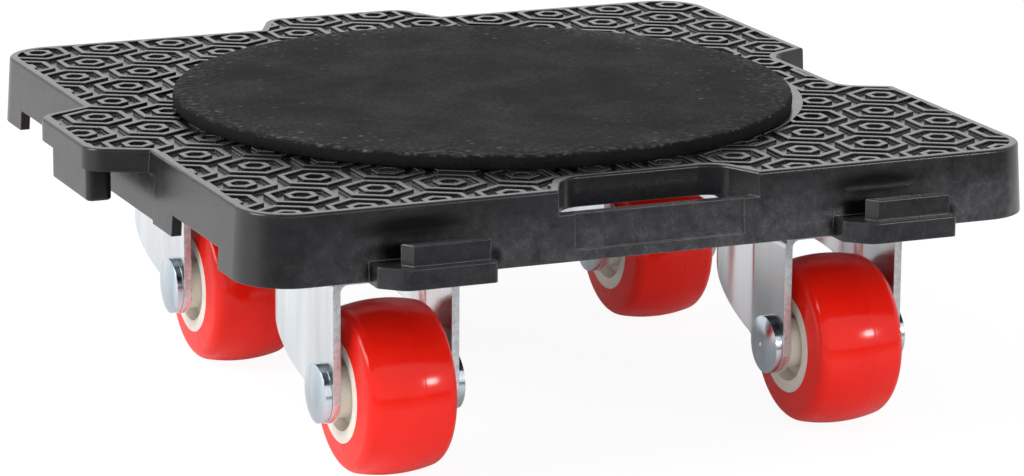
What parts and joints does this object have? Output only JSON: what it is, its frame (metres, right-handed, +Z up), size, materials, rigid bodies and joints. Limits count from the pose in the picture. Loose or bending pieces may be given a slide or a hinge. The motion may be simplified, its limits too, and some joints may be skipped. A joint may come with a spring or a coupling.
{
  "type": "furniture roller",
  "caption": "Square interlocking furniture roller: black plastic deck with a honeycomb top, round grip pad and swivel castors with red wheels.",
  "frame": {"origin": "on the floor under the wheels, below the middle of the part's outer box", "axes": "+X to the right along the front edge, +Y to the back edge with the tab, +Z up through the pad"},
  "size_m": [0.2696, 0.2696, 0.0895],
  "materials": {
    "deck_plastic": "satin black moulded plastic",
    "pad_rubber": "matt black foam rubber",
    "zinc_sheet": "bright zinc-plated sheet steel",
    "rivet_steel": "bright zinc-plated steel",
    "ball_steel": "polished steel",
    "core_nylon": "natural cream nylon",
    "tread_polyurethane": "glossy red polyurethane"
  },
  "bodies": {
    "base": {"deck": "deck_plastic", "top_pad": "pad_rubber", "front_left_plate": "zinc_sheet", "front_left_kingpin": "rivet_steel", "front_left_thrust_washer": "zinc_sheet", "front_left_swivel_balls": "ball_steel", "front_left_plate_screws": "rivet_steel", "front_right_plate": "zinc_sheet", "front_right_kingpin": "rivet_steel", "front_right_thrust_washer": "zinc_sheet", "front_right_swivel_balls": "ball_steel", "front_right_plate_screws": "rivet_steel", "rear_left_plate": "zinc_sheet", "rear_left_kingpin": "rivet_steel", "rear_left_thrust_washer": "zinc_sheet", "rear_left_swivel_balls": "ball_steel", "rear_left_plate_screws": "rivet_steel", "rear_right_plate": "zinc_sheet", "rear_right_kingpin": "rivet_steel", "rear_right_thrust_washer": "zinc_sheet", "rear_right_swivel_balls": "ball_steel", "rear_right_plate_screws": "rivet_steel"},
    "front_left_swivel": {"front_left_fork": "zinc_sheet", "front_left_axle": "rivet_steel", "front_left_axle_sleeve": "zinc_sheet"},
    "front_left_wheel": {"front_left_wheel_core": "core_nylon", "front_left_wheel_tread": "tread_polyurethane"},
    "front_right_swivel": {"front_right_fork": "zinc_sheet", "front_right_axle": "rivet_steel", "front_right_axle_sleeve": "zinc_sheet"},
    "front_right_wheel": {"front_right_wheel_core": "core_nylon", "front_right_wheel_tread": "tread_polyurethane"},
    "rear_left_swivel": {"rear_left_fork": "zinc_sheet", "rear_left_axle": "rivet_steel", "rear_left_axle_sleeve": "zinc_sheet"},
    "rear_left_wheel": {"rear_left_wheel_core": "core_nylon", "rear_left_wheel_tread": "tread_polyurethane"},
    "rear_right_swivel": {"rear_right_fork": "zinc_sheet", "rear_right_axle": "rivet_steel", "rear_right_axle_sleeve": "zinc_sheet"},
    "rear_right_wheel": {"rear_right_wheel_core": "core_nylon", "rear_right_wheel_tread": "tread_polyurethane"}
  },
  "joints": [
    {"name": "front_left_swivel_hinge", "type": "hinge", "parent": "base", "child": "front_left_swivel", "pos_m": [-0.06842, -0.06558, 0.0603], "axis": [0, 0, 1], "continuous": true},
    {"name": "front_left_wheel_hinge", "type": "hinge", "parent": "front_left_swivel", "child": "front_left_wheel", "pos_m": [-0.06842, -0.09008, 0.025], "axis": [1, 0, 0], "continuous": true},
    {"name": "front_right_swivel_hinge", "type": "hinge", "parent": "base", "child": "front_right_swivel", "pos_m": [0.07158, -0.06558, 0.0603], "axis": [0, 0, 1], "continuous": true},
    {"name": "front_right_wheel_hinge", "type": "hinge", "parent": "front_right_swivel", "child": "front_right_wheel", "pos_m": [0.07158, -0.09008, 0.025], "axis": [1, 0, 0], "continuous": true},
    {"name": "rear_left_swivel_hinge", "type": "hinge", "parent": "base", "child": "rear_left_swivel", "pos_m": [-0.06842, 0.06242, 0.0603], "axis": [0, 0, 1], "continuous": true},
    {"name": "rear_left_wheel_hinge", "type": "hinge", "parent": "rear_left_swivel", "child": "rear_left_wheel", "pos_m": [-0.06842, 0.03792, 0.025], "axis": [1, 0, 0], "continuous": true},
    {"name": "rear_right_swivel_hinge", "type": "hinge", "parent": "base", "child": "rear_right_swivel", "pos_m": [0.07158, 0.06242, 0.0603], "axis": [0, 0, 1], "continuous": true},
    {"name": "rear_right_wheel_hinge", "type": "hinge", "parent": "rear_right_swivel", "child": "rear_right_wheel", "pos_m": [0.07158, 0.03792, 0.025], "axis": [1, 0, 0], "continuous": true}
  ]
}
